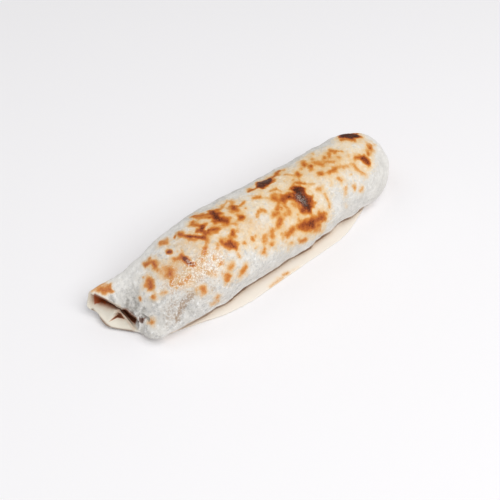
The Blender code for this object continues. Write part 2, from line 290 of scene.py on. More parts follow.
def inside(across, up, outline):
    """Whether points lie within an outline."""
    within = np.zeros(len(across), dtype=bool)
    for (xa, ya), (xb, yb) in zip(outline, outline[1:] + outline[:1]):
        crossing = (up > min(ya, yb)) & (up <= max(ya, yb))
        within ^= crossing & (across < xa + (up - ya) / ((yb - ya) or 1) * (xb - xa))
    return within


def patch(places, outline, blur):
    """1 within an outline in the view and 0 outside it, with a soft edge."""
    apart = np.abs(beside(places, outline + outline[:1])[0])
    return smooth(0.5 + np.where(inside(*places, outline), apart, -apart) / blur)


def streak(places, line, width):
    """1 on a line in the view, falling off over its width."""
    return np.exp(-((beside(places, line)[0] / width) ** 2))


def facing():
    """The skin's normals."""
    put_back()
    normals = np.empty(count * 3)
    bread.data.vertices.foreach_get("normal", normals)
    return normals.reshape(-1, 3)


# The sheet's inner face shows in the mouth: y and z of the mouth's outline, and y and x of its upper lip
MOUTH = [
    (35.1, 13), (33.7, 20), (29.1, 20.6), (23.1, 19.8), (16.1, 18.6), (7.4, 16.6), (2.6, 15.6), (-1.5, 14.2),
    (-3.9, 12.6), (-4.9, 10), (-4.9, 4.6), (-1.9, 1.4), (8.1, 1.2), (14.1, 2.0), (20.1, 3.3), (26.1, 4.9),
    (32.5, 6.6),
]
UPPER_LIP = [
    (-5, -110.6), (-1.5, -111), (2.6, -112.2), (7.4, -112.4), (11, -115), (16, -116.4), (23, -119),
    (29, -121.6), (35, -123.7),
]
outer_back = (skin[:, 1] > 22) & (facing()[:, 1] > 0.3)
inner = np.where(inside(skin[:, 1], skin[:, 2], MOUTH) & (skin[:, 0] < -85) & ~outer_back, 1.0, 0.0)
# Painted shade on the inner face, darker the further it lies behind the upper lip
behind_lip = skin[:, 0] - np.interp(skin[:, 1], *zip(*UPPER_LIP))
depth = smooth((behind_lip + 2.5) / 7)

# The inner ply is pleated: its left fold rises to a crest, and a thin fold stands beside it
LEFT_CREST = [(106, 322), (112, 317.8), (118.5, 312.3), (120, 309)]
THIN_CREST = [(118.5, 309), (122, 313), (126, 318.5), (130, 324), (133.5, 328.5)]
CREST_RISE = 2.2
THIN_RISE = 1.8
THIN_WIDTH = 1.1
POCKET_DROP = 0.9
places = seen_at(skin)
upward = smooth(facing() @ towards_eye * 3) * inner * smooth((-behind_lip + 4) / 4)
left, left_share = beside(places, LEFT_CREST)
thin, thin_share = beside(places, THIN_CREST)
rise = CREST_RISE * smooth(left_share * 1.3) * smooth((left + 0.5) / 1.0) * smooth(1 - left / 13)
rise += THIN_RISE * np.exp(-((thin / THIN_WIDTH) ** 2)) * (1 - 0.5 * thin_share)
rise -= POCKET_DROP * smooth(-left / 1.5) * smooth(1 + left / 9) * smooth(thin / 1.5) * smooth(1 - thin / 9)
skin[:, 2] += rise * upward
put_back()

# The lower lip ends in a small point at the far corner, with a shallow dip beside it: x and y in
# the view, how far it reaches, and how far the rim moves to the right and up, in millimetres
RIM_MOVES = [(90, 305.5, 3.5, -1.5, -0.5), (97, 313.5, 5.0, 1.0, 0.9)]
places = seen_at(skin)
for x, y, reach, to_right, to_top in RIM_MOVES:
    pull = np.exp(-(((places[0] - x) ** 2 + (places[1] - y) ** 2) / reach**2)) * (skin[:, 0] < -100)
    skin += pull[:, None] * (to_right * np.array(rightwards) + to_top * np.array(upwards))
put_back()

# Painted shade in the mouth, placed in the view: shadow in the gap behind the thin fold, in the pocket
# beside it and in the small hole, painted light on the thin fold, red-brown shade in the far corner,
# and the toasted rim of the lower lip with painted shade below it
HOLE = [(138.6, 316.2), (141.5, 318.2), (144.8, 316.5), (143.6, 320.5), (141.8, 323), (138.2, 321.5)]
GAP = [
    (121.8, 308.5), (128.2, 308.5), (133.6, 314), (136.2, 317.5), (135, 323.5), (131.5, 321.5), (126, 315),
]
POCKET = [(120.3, 311.5), (124.8, 318.8), (117, 317.3), (108.5, 321.2), (114, 316.2)]
POCKET_LINE = [(114, 319.5), (120.5, 315.5), (125.5, 321.5)]
FAR_CORNER = [
    (93.5, 293), (108, 300), (106.2, 300.4), (104.4, 304), (102.6, 301.4), (100.6, 300.6), (99, 302.6),
    (96, 303), (93.8, 304.2),
]
LIP_SHADE = [
    (95, 294), (105.5, 299.5), (115, 305), (120, 307.7), (126.8, 308.6), (131, 312.7), (136.4, 318.6),
]
LOWER_RIM = [
    (92, 309), (96, 314.5), (100, 318), (105, 323.5), (110, 327.2), (117, 328.8), (131, 330.6), (141, 336),
]
NEAR_CORNER = [(136.6, 318), (140, 314), (143, 326), (138, 330), (134.8, 325)]
places = seen_at(skin)
near_mouth = skin[:, 0] < -95
gap_shadow = patch(places, GAP, 1.6) * inner
pocket_shadow = patch(places, POCKET, 1.6) * inner
pocket_shade = streak(places, POCKET_LINE, 4.5) * inner * smooth(thin + 0.5) * (left < 0)
fold_light = streak(places, THIN_CREST, 1.5) * inner
# Red-brown painted shade deep in the far corner of the mouth
far_corner_shade = patch(places, FAR_CORNER, 0.8) * inner
# The lower lip's rim: its toasted edge, with painted shade below it
rim = streak(places, LOWER_RIM, 1.3) * near_mouth * (skin[:, 2] < 9)
hole = patch(places, HOLE, 2.0) * near_mouth
lip_shade = streak(places, LIP_SHADE, 1.2) * near_mouth
# Painted shadow in the gap and the pocket deepens the inner face's shade, and painted light lifts the thin
# fold
depth = np.maximum(np.maximum(0.85 * depth, gap_shadow), np.maximum(0.95 * pocket_shadow, 0.62 * pocket_shade))
depth += (0.4 - depth) * 0.9 * fold_light
inner *= 1 - patch(places, NEAR_CORNER, 1.2)

# Toast marks: from x, y to x, y in the view, half-width in millimetres, how dark from 0 to 1
TOAST_MARKS = [
    # the tucked end
    (341, 135.5, 355.5, 135.5, 2.7, 0.86),
    (356, 135.5, 359, 136, 1.9, 0.6),
    (343, 135.5, 356, 135.8, 1.8, 0.9),
    (341, 139, 354, 139.5, 1.6, 0.56),
    (370, 146.5, 370, 147.5, 3.3, 0.62),
    (367.5, 153, 367.5, 154, 2.0, 0.56),
    (355, 157, 361, 157, 2.3, 0.6),
    (362, 157.5, 367, 161.5, 2.3, 0.8),
    (367, 163, 368, 165, 1.6, 0.5),
    (352.5, 164.5, 356, 168, 2.5, 0.42),
    (358, 169.5, 365, 174, 1.9, 0.36),
    (330, 150.5, 335, 151.5, 1.5, 0.56),
    (336, 151, 342, 151, 1.1, 0.44),
    (329, 154, 329, 156, 2.4, 0.54),
    (324, 157, 324, 157.5, 2.1, 0.58),
    (338, 157, 338, 157, 1.9, 0.42),
    (348, 156, 348, 156, 2.0, 0.34),
    (333, 162, 324, 161, 2.4, 0.42),
    (315, 163, 322, 164, 2.2, 0.5),
    (312.5, 153.5, 312.5, 153.5, 1.5, 0.34),
    (311.5, 159, 311.5, 159, 2.0, 0.4),
    (303.6, 164.8, 303.6, 164.8, 2.7, 0.64),
    (301, 168.5, 301, 168.5, 1.5, 0.34),
    (310.8, 167, 310.8, 167, 2.6, 0.66),
    (337, 167, 347, 166, 2.4, 0.36),
    (329, 172, 335, 169, 2.5, 0.56),
    (320.3, 174.2, 320.6, 174.2, 2.7, 0.6),
    (338, 178, 340.5, 180.5, 1.8, 0.46),
    (350.5, 174, 350.5, 174, 1.0, 0.34),
    (317, 189, 320, 188.5, 2.2, 0.42),
    (324, 193, 327, 198, 1.2, 0.36),
    (327, 198, 329.5, 207, 1.2, 0.36),
    (345.5, 187, 345, 194, 1.6, 0.3),
    (354.3, 187.5, 354.3, 187.5, 1.9, 0.42),
    (362.5, 187.5, 360, 190.5, 1.8, 0.34),
    (345.5, 205.5, 345.5, 205.5, 2.2, 0.2),
    (331, 182, 331, 185, 1.6, 0.22),
    (312, 163, 338, 160, 6.0, 0.22),
    (345, 160, 352, 152, 5.0, 0.1),
    (303, 174, 330, 179, 5.0, 0.12),
    # the back edge
    (248, 190.3, 257, 187.5, 0.9, 0.66),
    (261, 184.8, 268.5, 180.2, 3.1, 0.92),
    (261, 183.3, 269, 179, 2.2, 0.9),
    (272.5, 176, 279, 171, 1.4, 0.64),
    (279, 171, 284, 170, 1.2, 0.4),
    # the middle
    (297.6, 174, 297.6, 174, 2.5, 0.62),
    (284, 174.5, 294, 175, 1.0, 0.36),
    (293, 179, 293, 179, 1.3, 0.36),
    (284, 180.5, 284, 180.5, 1.2, 0.32),
    (298, 177, 300, 183, 1.3, 0.38),
    (253, 197.8, 260, 196.3, 1.6, 0.52),
    (261, 197, 270, 198, 1.2, 0.36),
    (272.5, 197.5, 274.5, 197.8, 2.9, 0.62),
    (270, 191, 276, 189, 1.5, 0.42),
    (276, 189, 281, 191, 1.4, 0.36),
    (278, 203, 277, 209, 2.0, 0.5),
    (282.5, 199, 289, 195.5, 3.3, 0.72),
    (281, 207.5, 281, 209, 2.2, 0.46),
    (295.2, 188.5, 298, 191, 3.4, 0.84),
    (297.5, 193, 301.5, 197, 5.7, 0.82),
    (302, 198, 305, 203, 5.4, 0.82),
    (304.5, 203, 306.5, 207.5, 4.0, 0.8),
    (289, 197, 294, 197.5, 2.6, 0.72),
    (302.5, 209, 305, 211, 2.2, 0.68),
    (300.5, 208, 301.5, 210.5, 1.4, 0.5),
    (292, 203, 295, 206, 2.2, 0.4),
    (296, 183, 304, 183.5, 1.3, 0.55),
    (305, 183.5, 313, 183, 1.1, 0.36),
    (274.5, 214, 277, 212.5, 2.4, 0.56),
    (280, 219, 279, 223, 2.4, 0.62),
    (277, 226, 277.5, 228, 1.5, 0.42),
    (284, 206, 286, 207, 1.4, 0.46),
    (284.5, 213.5, 284.5, 213.5, 1.7, 0.4),
    (288, 208, 289, 214, 1.7, 0.42),
    (286, 215, 290, 212, 3.0, 0.34),
    (297.5, 214, 297.5, 214, 1.3, 0.36),
    (302.5, 225, 309.5, 224, 4.0, 0.75),
    (310, 222, 321, 216.8, 4.0, 0.71),
    (300, 220.5, 310, 218.5, 1.4, 0.44),
    (318, 213, 326, 213.5, 1.9, 0.46),
    (313, 226, 319, 224.5, 2.8, 0.56),
    (315, 230.5, 319, 229, 2.6, 0.42),
    (301, 229, 307, 229.5, 2.0, 0.55),
    (292.5, 228.5, 287, 234.5, 3.0, 0.58),
    (281, 233, 281, 233, 1.6, 0.36),
    (299.5, 241, 305, 239, 1.9, 0.52),
    (292, 242.5, 292, 242.5, 2.0, 0.36),
    (285.5, 241, 285.5, 241, 1.4, 0.28),
    (288, 249, 288, 249, 1.5, 0.22),
    (271.5, 230.5, 271.5, 236, 2.6, 0.48),
    (265, 235, 263, 241, 3.0, 0.42),
    (271.5, 244, 271.5, 244, 2.1, 0.52),
    (264, 249, 263, 252, 2.4, 0.46),
    (244, 242.5, 244, 242.5, 1.6, 0.46),
    (251, 236, 253, 239, 1.1, 0.44),
    (253, 239, 255, 235, 1.1, 0.42),
    (255, 248, 255, 248, 0.8, 0.38),
    (248, 231, 248, 231, 1.0, 0.28),
    (261, 209, 265, 210, 1.5, 0.46),
    (258, 211, 256.5, 216, 1.4, 0.44),
    (240, 204, 243, 202, 1.4, 0.52),
    (245, 207.5, 245, 207.5, 1.3, 0.42),
    (239.5, 218, 242.5, 216, 2.1, 0.7),
    (250, 222, 250, 222, 1.2, 0.26),
    (233, 206, 234, 208.5, 3.6, 0.7),
    (222, 206, 226, 202, 1.1, 0.4),
    (231, 222.5, 235, 224, 1.4, 0.44),
    (213.8, 214, 216, 216, 3.7, 0.85),
    (217, 219, 225.5, 220.5, 3.0, 0.75),
    (217, 211, 221, 207.5, 1.6, 0.5),
    (193, 216, 209, 213.5, 1.8, 0.6),
    (196, 217.5, 208, 217.5, 1.4, 0.46),
    (192, 221.5, 193, 222, 1.1, 0.64),
    (191, 224, 199, 225.5, 1.5, 0.6),
    (200, 225.5, 206, 223.5, 1.2, 0.52),
    (208, 230, 217, 228.5, 1.9, 0.7),
    (209, 233, 216, 232, 1.6, 0.44),
    (232.3, 231, 231.8, 233.5, 2.6, 0.68),
    (224.5, 243.5, 230, 243.5, 2.9, 0.69),
    (229.5, 241, 232.5, 245.5, 2.8, 0.7),
    (233, 246, 236, 248, 1.1, 0.6),
    (221, 241, 221, 241, 1.8, 0.64),
    (217, 244, 217, 247, 1.8, 0.4),
    (232, 265, 229, 268, 2.1, 0.42),
    (227.5, 275, 227, 280, 2.4, 0.54),
    (246, 266.5, 242, 271, 2.2, 0.52),
    (241, 272, 239, 276, 2.0, 0.34),
    (220.5, 262.5, 220.5, 262.5, 1.9, 0.5),
    (239, 257, 237, 252, 0.9, 0.34),
    (217.5, 295, 217, 299, 2.3, 0.36),
    (214, 302, 211, 304, 1.3, 0.34),
    (215, 225, 230, 226, 4.0, 0.26),
    (240, 225, 268, 240, 8.0, 0.14),
    (228, 216, 258, 226, 7.0, 0.2),
    (176, 262, 200, 268, 6.0, 0.24),
    # the open end's side
    (202, 227.5, 202, 227.5, 2.1, 0.84),
    (197, 230, 204, 231, 1.7, 0.68),
    (190, 236, 204, 237, 1.9, 0.75),
    (179, 234, 190, 237, 1.8, 0.68),
    (174.5, 236, 174.5, 236, 0.8, 0.66),
    (205, 233, 208, 232, 1.8, 0.56),
    (188, 239.5, 194, 239.5, 1.5, 0.48),
    (160.5, 243.5, 165, 242, 2.6, 0.5),
    (169, 251.2, 170, 251.2, 1.5, 0.78),
    (177, 251, 177, 251, 2.0, 0.3),
    (149, 258.5, 150, 258, 1.3, 0.42),
    (145, 264.5, 151, 262, 1.8, 0.6),
    (153, 262, 155.5, 266, 2.0, 0.62),
    (157, 270.5, 157, 270.5, 1.7, 0.45),
    (174, 258.5, 182, 257.5, 2.0, 0.54),
    (181, 255.5, 184, 258.5, 2.2, 0.62),
    (185, 259.5, 192, 264, 2.0, 0.8),
    (169, 271.5, 170, 274, 3.4, 0.6),
    (164, 275, 160, 272, 2.8, 0.34),
    (149.5, 281, 149.5, 283.5, 3.3, 0.68),
    (150, 287, 150, 287.5, 1.6, 0.52),
    (143, 277, 143, 277, 1.4, 0.38),
    (153, 296, 153, 297, 1.8, 0.56),
    (140, 298, 140, 298, 1.0, 0.6),
    (152, 322, 152.5, 322, 2.1, 0.46),
    (147.5, 322.5, 147.5, 322.5, 1.5, 0.3),
    (98.5, 289, 109, 285.5, 2.4, 0.5),
    (102, 290, 109, 289.5, 2.2, 0.58),
    (112.5, 291, 112.5, 291, 1.4, 0.5),
    (92, 290, 97, 288, 2.0, 0.34),
    (202, 287.5, 203, 290, 3.0, 0.5),
    (196, 289, 196, 289, 1.8, 0.34),
    (206.5, 240, 205.5, 247, 1.8, 0.42),
    (205, 248, 203.5, 253, 2.1, 0.54),
    (201, 259, 201, 259, 1.5, 0.42),
    (213.5, 256, 214, 258, 1.1, 0.4),
    (186, 279, 189, 276, 1.2, 0.55),
    (182, 283, 178, 284, 1.1, 0.46),
    (170.5, 281, 171.5, 285, 1.0, 0.44),
    (175, 287, 176, 288, 1.2, 0.36),
    (171, 277, 190, 282, 5.0, 0.26),
    (160, 293, 165, 292, 1.7, 0.34),
    (163, 267, 172, 266, 4.0, 0.3),
    (180, 243, 196, 246, 5.0, 0.2),
    (181, 250, 181, 250, 1.4, 0.34),
    (210, 272, 214, 274, 3.0, 0.3),
    (222, 273, 222, 273, 1.5, 0.36),
    # the loose end
    (283, 274.5, 287, 272.5, 1.5, 0.36),
    (282, 277, 270, 286, 1.4, 0.3),
    (289, 271.5, 298, 266.5, 1.0, 0.16),
]

# The noise vectors start from a set seed, so that each run gives the same marks
NOISE_SEED = 3
noise.seed_set(NOISE_SEED)


def swayed(points):
    """Points moved a little by noise, which makes the marks' outlines irregular."""
    coarse_part = np.array([tuple(noise.noise_vector(Vector(p) / 5.0)) for p in points])
    fine_part = np.array([tuple(noise.noise_vector(Vector(p) / 1.9 + Vector((9, 0, 0)))) for p in points])
    return points + 1.0 * coarse_part + 0.4 * fine_part


swayed_skin = swayed(skin)
# How much wider or narrower a mark is from place to place
uneven = np.array([noise.noise(Vector(p) / 3.4 + Vector((4, 0, 3))) for p in skin])
uneven = np.clip(1 + 0.6 * uneven, 0.75, 1.3)
toast = np.zeros(count)
haze = np.zeros(count)
warmth = np.zeros(count)
BLEND = 4
DARKEST = 0.95
HAZE_LIMIT = 0.6
HAZE_MARGIN = 2.6
WARMTH_MARGIN = 5
# A mark reaches further along the line of sight, as its width is the one seen in the view
SEEN_DEPTH = 0.2


def toast_mark(spots, half_width, darkness, depth_share, reached):
    """Toasts the reached skin along some of its points: a soft edge, a haze and a wide warm tone."""
    middle = spots.mean(axis=0)
    reach = 2.5 * half_width + 12 + np.linalg.norm(spots - middle, axis=1).max()
    near = np.flatnonzero((np.abs(skin - middle).max(axis=1) < reach / depth_share) & (reached > 0))
    offset = swayed_skin[near, None] - swayed(spots)[None]
    apart = (offset**2).sum(axis=2) - (1 - depth_share**2) * (offset @ towards_eye) ** 2
    apart = np.sqrt(np.maximum(apart, 0).min(axis=1))
    width = (half_width + 0.4) * uneven[near]
    # The darkest marks are flat inside with a steeper edge
    steepness = 1.4 + 1.8 * smooth((darkness - 0.62) / 0.3)
    toast[near] += (darkness * reached[near] * np.exp(-((apart / width) ** steepness))) ** BLEND
    hazy = np.exp(-((apart / (half_width + HAZE_MARGIN)) ** 2))
    haze[near] += min(darkness, HAZE_LIMIT) * reached[near] * hazy
    warmth[near] += darkness * reached[near] * np.exp(-((apart / (half_width + WARMTH_MARGIN)) ** 2))


# How far the skin is turned to the view: marks placed in the view fade out on the far side, and
# the marks of the far side fade out where the view begins
turned = facing() @ towards_eye
seen_side = smooth((turned + 0.7) / 0.3)
far_side = smooth((0.08 - turned) / 0.3)
for x0, y0, x1, y1, half_width, darkness in TOAST_MARKS:
    toast_mark(trail(x0, y0, x1, y1), half_width, darkness, SEEN_DEPTH, seen_side)

# The sides that the view doesn't show are toasted alike, in groups of marks; sizes in millimetres
HIDDEN_GROUPS = 24
GROUP_LENGTH = 9
GROUP_WIDTH = 5
dice = random.Random(5)
hidden = np.flatnonzero((turned < -0.3) & (inner == 0) & (skin[:, 0] > -98))
for group in range(HIDDEN_GROUPS):
    centre = Vector(skin[dice.choice(hidden)])
    group_darkness = dice.uniform(0.4, 0.85)
    for k in range(dice.randint(3, 8)):
        offset = (dice.gauss(0, GROUP_LENGTH), dice.gauss(0, GROUP_WIDTH), dice.gauss(0, GROUP_WIDTH))
        start = centre + Vector(offset)
        onward = Vector((dice.uniform(-6, 6), dice.uniform(-2, 2), dice.uniform(-2, 2))) * dice.random()
        spots = [surface.find_nearest(start + onward * t / 4)[0] for t in range(5)]
        darkness = group_darkness * dice.uniform(0.6, 1.15)
        toast_mark(np.array(spots), dice.uniform(1.2, 3.2), darkness, 1.0, far_side)

toast = np.minimum(toast ** (1 / BLEND), DARKEST)
# The haze fades towards the open end, low at the front and high at the back
fading = 0.6 + 0.4 * smooth((skin[:, 0] + 90) / 120)
fading *= 0.55 + 0.45 * smooth((skin[:, 2] - 12) / 18)
fading *= 1 - 0.6 * smooth((skin[:, 1] - 10) / 10) * (turned > -0.1)
haze = fading * (1 - np.exp(-haze))
warmth = fading * (1 - np.exp(-warmth))

# The loose end is what lies within about 3 mm of the floor
loose = 1.0 - smooth((skin[:, 2] - 2.2) / 1.2)

# Creases near the open end, dented and darkened with painted shade: from x, y to x, y in the view,
# half-width and depth in millimetres, and how strong the painted shade is
CREASES = [
    (131, 283, 135, 291, 0.9, 0.5, 0.5),
    (120, 276, 124, 284, 1.0, 0.35, 0.3),
    (121, 290, 126, 300, 1.7, 0.5, 0.4),
    (127, 300, 125.5, 306, 1.6, 0.6, 0.8),
    (132.5, 297, 134.5, 304, 1.3, 0.6, 0.8),
    (136, 287, 136, 293, 1.3, 0.4, 0.4),
    (137, 304, 131, 311, 1.6, 0.5, 0.8),
    (143.5, 308, 138, 316, 1.1, 0.5, 0.7),
    (127, 306, 134, 310.5, 1.5, 0.4, 0.7),
    (110.5, 296, 113, 301, 1.4, 0.4, 0.7),
    (113, 288, 116, 296, 0.8, 0.3, 0.3),
    (151, 301, 157, 305, 0.9, 0.4, 0.35),
    (142, 314.5, 148, 319, 0.7, 0.9, 1.0),
    (180, 308, 171, 322, 1.6, 0.7, 0.0),
    (193, 293, 186, 303, 1.6, 0.45, 0.0),
    (169, 311, 173, 316, 1.0, 0.3, 0.2),
    (187, 307, 191, 313, 2.2, 0.2, 0.6),
    (183, 315, 180, 319, 2.0, 0.2, 0.45),
    (193, 303, 196, 306, 1.6, 0.2, 0.4),
    (203, 302, 206, 305, 1.8, 0.2, 0.4),
    (163, 322, 168, 326, 2.2, 0.2, 0.4),
    (199, 296, 202, 299, 1.3, 0.2, 0.4),
    (207, 279, 209, 283, 1.6, 0.2, 0.4),
    (184, 318, 188, 321, 1.5, 0.2, 0.35),
]
# Brownish painted shade, mostly along the folds near the open end: as above, with how strong
FOLD_SHADES = [
    (183.5, 302, 176, 318, 2.8, 0.8),
    (186, 299, 194, 291.5, 3.4, 0.7),
    (198, 286, 190, 298, 4.0, 0.5),
    (205, 283, 215, 290, 3.0, 0.4),
    (210, 270, 196, 280, 5.0, 0.45),
    (174, 318, 168, 324, 4.0, 0.35),
    (174, 302, 167, 316, 6.0, 0.42),
    (186, 270, 178, 284, 5.0, 0.3),
    (228, 250, 222, 262, 4.0, 0.25),
]
# The line where the loose end leaves the roll, drawn as a painted shadow: x and y in the view, and how dark
CREVICE = [
    (176, 330.5, 0.3), (182, 327.5, 0.6), (195, 320, 0.7), (205, 314.5, 0.75), (214, 308.5, 0.8),
    (225, 303, 0.8), (230, 299.2, 0.9), (233, 295.8, 1.0), (242, 288.8, 1.0), (252, 282.4, 1.0),
    (265, 274.6, 0.9), (278, 266, 0.75), (290, 257.5, 0.7), (301.5, 251.5, 0.95), (309.5, 247, 1.0),
    (313, 243, 0.6), (317, 239.3, 0.9), (322, 236, 1.0), (329, 232, 0.7), (333.5, 228.3, 0.45),
    (336.5, 224, 0.7), (340, 221.3, 1.0), (345, 218.8, 1.0), (351.5, 216, 0.6), (355.5, 212, 0.8),
    (361, 208.3, 0.7), (367.5, 204.5, 0.4),
]
CREASE_REACH = 25
FOLD_SHADE_REACH = 35


def near_trail(ends, reach):
    """The skin within reach of a trail's middle, and how far it is from the trail."""
    spots = trail(*ends)
    near = np.flatnonzero(np.abs(skin - spots.mean(axis=0)).max(axis=1) < reach)
    apart = np.linalg.norm(swayed_skin[near, None] - swayed(spots)[None], axis=2).min(axis=1)
    return near, apart


sunken = np.zeros(count)
grey = np.zeros(count)
for *ends, half_width, dent, shade_strength in CREASES:
    near, apart = near_trail(ends, CREASE_REACH)
    sunken[near] = np.maximum(sunken[near], dent * np.exp(-((apart / half_width) ** 2)))
    grey[near] = np.maximum(grey[near], shade_strength * np.exp(-((apart / (half_width + 0.5)) ** 2)))

stain = np.zeros(count)
for *ends, half_width, strength in FOLD_SHADES:
    near, apart = near_trail(ends, FOLD_SHADE_REACH)
    stain[near] = np.maximum(stain[near], strength * np.exp(-((apart / half_width / uneven[near]) ** 2)))

# The painted shadow line itself, and a wider painted shade on the loose end below it
LINE_WIDTH = 1.3
SHADE_WIDTH = 3.8
apart, share = beside(places, [point[:2] for point in CREVICE])
lengths = np.cumsum([0] + [math.dist(a[:2], b[:2]) for a, b in zip(CREVICE, CREVICE[1:])])
strength = np.interp(share, lengths / lengths[-1], [point[2] for point in CREVICE])
below_roll = smooth((-12 - skin[:, 1]) / 4) * smooth((26 - skin[:, 2]) / 4) * (turned > -0.2)
# On the roll itself the line stays where the skin turns to the view, or it would smear down its side
turned_to_view = np.maximum(smooth((turned - 0.12) / 0.3), smooth((6 - skin[:, 2]) / 2))
nook = strength * np.exp(-((apart / LINE_WIDTH) ** 2)) * below_roll * turned_to_view
nook_shade = strength * np.exp(-((apart / SHADE_WIDTH) ** 2)) * below_roll * (skin[:, 2] < 5)

# A patch of painted shade round the creases, and an oily patch on top with crackle and painted glints
WRINKLE_SHADE = [
    (113, 292), (127, 285), (140, 290), (143, 302), (148, 314), (146, 321), (138, 318), (131, 309),
    (121, 306),
]
grey = np.maximum(grey, 0.4 * patch(places, WRINKLE_SHADE, 8) * (turned > 0))
grey *= 1 - patch(places, NEAR_CORNER, 3)
CRACKLE_AND_GLINT_PATCH = [(162, 285), (176, 273), (190, 258), (212, 247), (226, 254), (220, 272), (192, 284), (172, 292)]
oil = patch(places, CRACKLE_AND_GLINT_PATCH, 14) * (turned > 0)
# Grey ash in the middle of the two largest burnt marks; on the one at the back edge it is fainter and
# partly a painted glint
ASH_BIG = [(296, 194.5), (301, 193.5), (305, 199), (305.5, 204), (302, 204), (297, 200)]
ASH_AND_GLINT_EDGE = [(255, 184), (262, 180), (269, 178.5), (268, 181), (260, 185)]
ash = np.maximum(patch(places, ASH_BIG, 6), 0.25 * patch(places, ASH_AND_GLINT_EDGE, 3))
# The bread is most mottled near its open end
mottled = 1 - 0.4 * smooth((skin[:, 0] + 60) / 60) - 0.35 * smooth((skin[:, 0] - 60) / 40)
# Painted light: the roll's lower front, its tucked end, the back near the mouth and the mouth's near
# corner are drawn lighter
pale = smooth((17 - skin[:, 2]) / 10) * smooth((skin[:, 0] + 90) / 30)
pale = np.maximum(pale, 0.7 * smooth((skin[:, 0] - 98) / 20))
pale = np.maximum(pale, 0.8 * smooth((skin[:, 1] - 8) / 12) * smooth((-45 - skin[:, 0]) / 20))
pale = np.maximum(pale, patch(places, NEAR_CORNER, 2)) * (1 - inner)
# Painted sheen: its toast is drawn a little towards a bluish white near the open end
veil = 0.05 * (1 - smooth((skin[:, 0] + 85) / 50))

# What the material reads, kept on the skin's points
painting = {
    "toast": toast, "haze": haze, "warmth": warmth, "grey": grey, "nook": nook, "nook_shade": nook_shade,
    "inner": inner, "depth": depth, "loose": loose, "rust": far_corner_shade, "rim": rim, "oil": oil,
    "stain": stain, "hole": hole, "ash": ash, "mottled": mottled, "pale": pale, "lip_shade": lip_shade,
    "veil": veil,
}
for name, values in painting.items():
    layer = bread.data.attributes.new(name, "FLOAT", "POINT")
    layer.data.foreach_set("value", values.astype(np.float32))

# Relief: blisters and hollows of the thin sheet over the filling, in millimetres
LUMP_HEIGHT = 0.8
PIT_DEPTH = 0.2
TOAST_SWELL = 0.15
LINE_DEPTH = 0.9
lumps = np.array([noise.noise(Vector(p) / 11.0) + 0.5 * noise.noise(Vector(p) / 5.0) for p in skin])
pits = np.array([noise.noise(Vector(p) / 2.2 + Vector((0, 5, 0))) for p in skin])
bare = smooth((skin[:, 2] - 3) / 5) * (1 - inner) * smooth((skin[:, 0] + 121) / 8)
relief = (LUMP_HEIGHT * lumps + PIT_DEPTH * pits + TOAST_SWELL * toast) * bare
relief -= sunken * (1 - inner)
relief -= LINE_DEPTH * nook
skin += facing() * relief[:, None]
low, high = np.array(cad_box[0]) / MM, np.array(cad_box[1]) / MM
skin = np.clip(skin, low, high)
put_back()
bread.data.shade_smooth()


class Shade:
    """A value in the bread's material. Sums and products of it add Math nodes to the tree."""

    tree = None

    def __init__(self, socket):
        self.socket = socket

    @classmethod
    def node(cls, kind, settings, inputs, output=0):
        """A new node: its settings first, then values or links for its sockets."""
        made = cls.tree.nodes.new(kind)
        for name, value in settings.items():
            if name == "stops":
                ramp = made.color_ramp.elements
                while len(ramp) < len(value):
                    ramp.new(0.5)
                for stop, (place, colour) in zip(ramp, value):
                    stop.position = place
                    stop.color = colour
            else:
                setattr(made, name, value)
        for name, value in inputs.items():
            if isinstance(value, Shade):
                cls.tree.links.new(value.socket, made.inputs[name])
            else:
                made.inputs[name].default_value = value
        return Shade(made.outputs[output])

    def math(self, operation, other):
        return Shade.node("ShaderNodeMath", {"operation": operation}, {0: self, 1: other})

    def __add__(self, other):
        return self.math("ADD", other)

    __radd__ = __add__

    def __sub__(self, other):
        return self.math("SUBTRACT", other)

    def __rsub__(self, other):
        return Shade.node("ShaderNodeMath", {"operation": "SUBTRACT"}, {0: other, 1: self})

    def __mul__(self, other):
        return self.math("MULTIPLY", other)

    __rmul__ = __mul__

    def ramp(self, low, high):
        """0 below low and 1 above high, with a gentle start and end."""
        return Shade.node(
            "ShaderNodeMapRange",
            {"interpolation_type": "SMOOTHSTEP"},
            {"Value": self, "From Min": low, "From Max": high},
        )


def tone(red, green, blue):
    """A colour as it is seen, from 0 to 255, in the linear values that nodes take."""
    linear = [((c / 255 + 0.055) / 1.055) ** 2.4 for c in (red, green, blue)]
    return (*linear, 1)


def blended(factor, below, above):
    """Two colours mixed."""
    return Shade.node("ShaderNodeMix", {"data_type": "RGBA"}, {0: factor, 6: below, 7: above}, 2)


def grain(size, detail, roughness, shift=(0, 0, 0)):
    """Noise on the piece itself, with spots of about this size in millimetres."""
    place = Shade.node("ShaderNodeTexCoord", {}, {}, 3)
    place = Shade.node("ShaderNodeMapping", {}, {"Vector": place, "Location": shift})
    inputs = {"Vector": place, "Scale": 1 / (size * MM), "Detail": detail, "Roughness": roughness}
    return Shade.node("ShaderNodeTexNoise", {}, inputs)


def painted(name):
    """One of the skin's own values."""
    return Shade.node("ShaderNodeAttribute", {"attribute_name": name}, {}, 2)


crumb = bpy.data.materials.new("toasted_bread")
crumb.use_nodes = True
Shade.tree = crumb.node_tree
shader = crumb.node_tree.nodes["Principled BSDF"]

